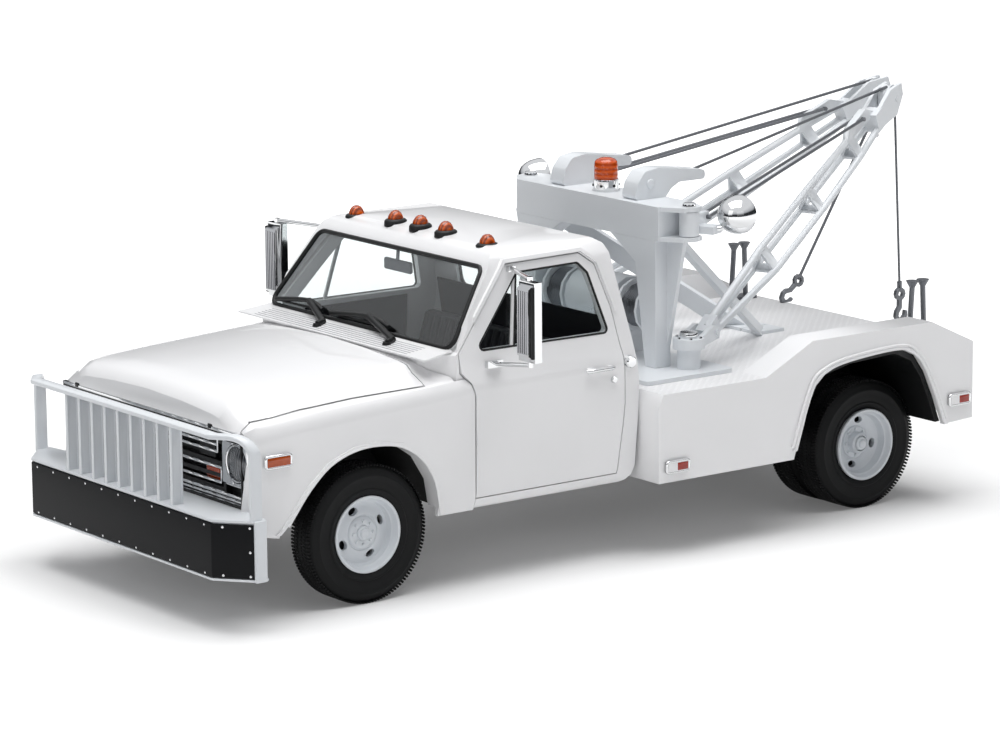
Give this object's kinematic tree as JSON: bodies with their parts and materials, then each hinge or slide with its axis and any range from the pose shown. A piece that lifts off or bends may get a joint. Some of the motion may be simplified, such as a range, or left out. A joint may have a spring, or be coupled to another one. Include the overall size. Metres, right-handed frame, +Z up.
{
  "type": "tow truck",
  "caption": "Scale model wrecker truck with opening doors and bonnet, push bumper with bar guard, and two swinging lattice booms on a mast.",
  "frame": {"origin": "on the ground, under the middle of the overall length and width", "axes": "+X to the nose, +Y to the driver side, +Z up"},
  "size_m": [0.3465, 0.1508, 0.1344],
  "materials": {
    "white_paint": "gloss",
    "frame_white": "satin",
    "black_frame": "satin",
    "chrome": "gloss",
    "clear": "gloss",
    "tyre_rubber": "matte",
    "black_rubber": "matte",
    "black_plastic": "matte",
    "amber": "gloss",
    "interior": "matte",
    "steel_cable": "satin"
  },
  "bodies": {
    "truck": {"beacon_lens": "amber", "bench_seat": "interior", "bumper_pad": "black_rubber", "cab_shell": "white_paint", "chassis_frame": "black_frame", "control_levers_left": "steel_cable", "control_levers_right": "steel_cable", "dashboard": "interior", "engine_block": "black_frame", "front_axle": "black_frame", "front_clip": "white_paint", "grille": "black_plastic", "grille_guard": "frame_white", "headlamp_left": "chrome", "headlamp_right": "chrome", "mast_base": "frame_white", "mast_beam": "frame_white", "mast_brace_left": "frame_white", "mast_brace_right": "frame_white", "mast_post_left": "frame_white", "mast_post_right": "frame_white", "push_bumper": "frame_white", "rear_axle": "black_frame", "rear_window_glass": "clear", "steering_wheel": "interior", "tail_hook": "steel_cable", "wheel_housing_left": "black_plastic", "wheel_housing_right": "black_plastic", "winch": "frame_white", "windscreen_glass": "clear", "wrecker_body": "white_paint"},
    "left_door": {"door_left": "white_paint", "door_glass_left": "clear", "door_mirror_left": "chrome"},
    "right_door": {"door_right": "white_paint", "door_glass_right": "clear", "door_mirror_right": "chrome"},
    "bonnet_lid": {"bonnet": "white_paint"},
    "left_knuckle": {"steering_knuckle_left": "black_frame"},
    "right_knuckle": {"steering_knuckle_right": "black_frame"},
    "front_left_wheel": {"front_wheel_left": "frame_white", "front_tyre_left": "tyre_rubber"},
    "front_right_wheel": {"front_wheel_right": "frame_white", "front_tyre_right": "tyre_rubber"},
    "rear_left_wheel": {"rear_wheel_left": "frame_white", "rear_tyres_left": "tyre_rubber"},
    "rear_right_wheel": {"rear_wheel_right": "frame_white", "rear_tyres_right": "tyre_rubber"},
    "left_boom": {"turret_left": "frame_white", "knuckle_left": "frame_white", "work_lamp_left": "chrome", "boom_left": "frame_white", "topping_stays_left": "steel_cable", "hoist_hook_left": "steel_cable"},
    "right_boom": {"turret_right": "frame_white", "knuckle_right": "frame_white", "work_lamp_right": "chrome", "boom_right": "frame_white", "topping_stays_right": "steel_cable"}
  },
  "joints": [
    {"name": "left_steer", "type": "hinge", "parent": "truck", "child": "left_knuckle", "pos_m": [0.11425, 0.0346, 0.0202], "axis": [0, 0, 1], "range_deg": [-25, 25]},
    {"name": "right_steer", "type": "hinge", "parent": "truck", "child": "right_knuckle", "pos_m": [0.11425, -0.0346, 0.0202], "axis": [0, 0, 1], "range_deg": [-25, 25]},
    {"name": "front_left_spin", "type": "hinge", "parent": "left_knuckle", "child": "front_left_wheel", "pos_m": [0.11425, 0.0473, 0.0223], "axis": [0, 1, 0], "continuous": true},
    {"name": "front_right_spin", "type": "hinge", "parent": "right_knuckle", "child": "front_right_wheel", "pos_m": [0.11425, -0.0473, 0.0223], "axis": [0, 1, 0], "continuous": true},
    {"name": "rear_left_spin", "type": "hinge", "parent": "truck", "child": "rear_left_wheel", "pos_m": [-0.09275, 0.04, 0.0223], "axis": [0, 1, 0], "continuous": true},
    {"name": "rear_right_spin", "type": "hinge", "parent": "truck", "child": "rear_right_wheel", "pos_m": [-0.09275, -0.04, 0.0223], "axis": [0, 1, 0], "continuous": true},
    {"name": "left_door_hinge", "type": "hinge", "parent": "truck", "child": "left_door", "pos_m": [0.07825, 0.0552, 0.055], "axis": [0, 0, -1], "range_deg": [0, 65]},
    {"name": "right_door_hinge", "type": "hinge", "parent": "truck", "child": "right_door", "pos_m": [0.07825, -0.0552, 0.055], "axis": [0, 0, 1], "range_deg": [0, 65]},
    {"name": "bonnet_hinge", "type": "hinge", "parent": "truck", "child": "bonnet_lid", "pos_m": [0.09245, 0, 0.0752], "axis": [0, -1, 0], "range_deg": [0, 50]},
    {"name": "left_boom_swing", "type": "hinge", "parent": "truck", "child": "left_boom", "pos_m": [-0.02275, 0.0433, 0.08], "axis": [0, 0, 1], "range_deg": [-101.5, 2]},
    {"name": "right_boom_swing", "type": "hinge", "parent": "truck", "child": "right_boom", "pos_m": [-0.02275, -0.0433, 0.08], "axis": [0, 0, 1], "range_deg": [-2, 86]}
  ],
  "couplings": [
    {"joint": "right_steer", "follows": "left_steer", "ratio": 1}
  ]
}
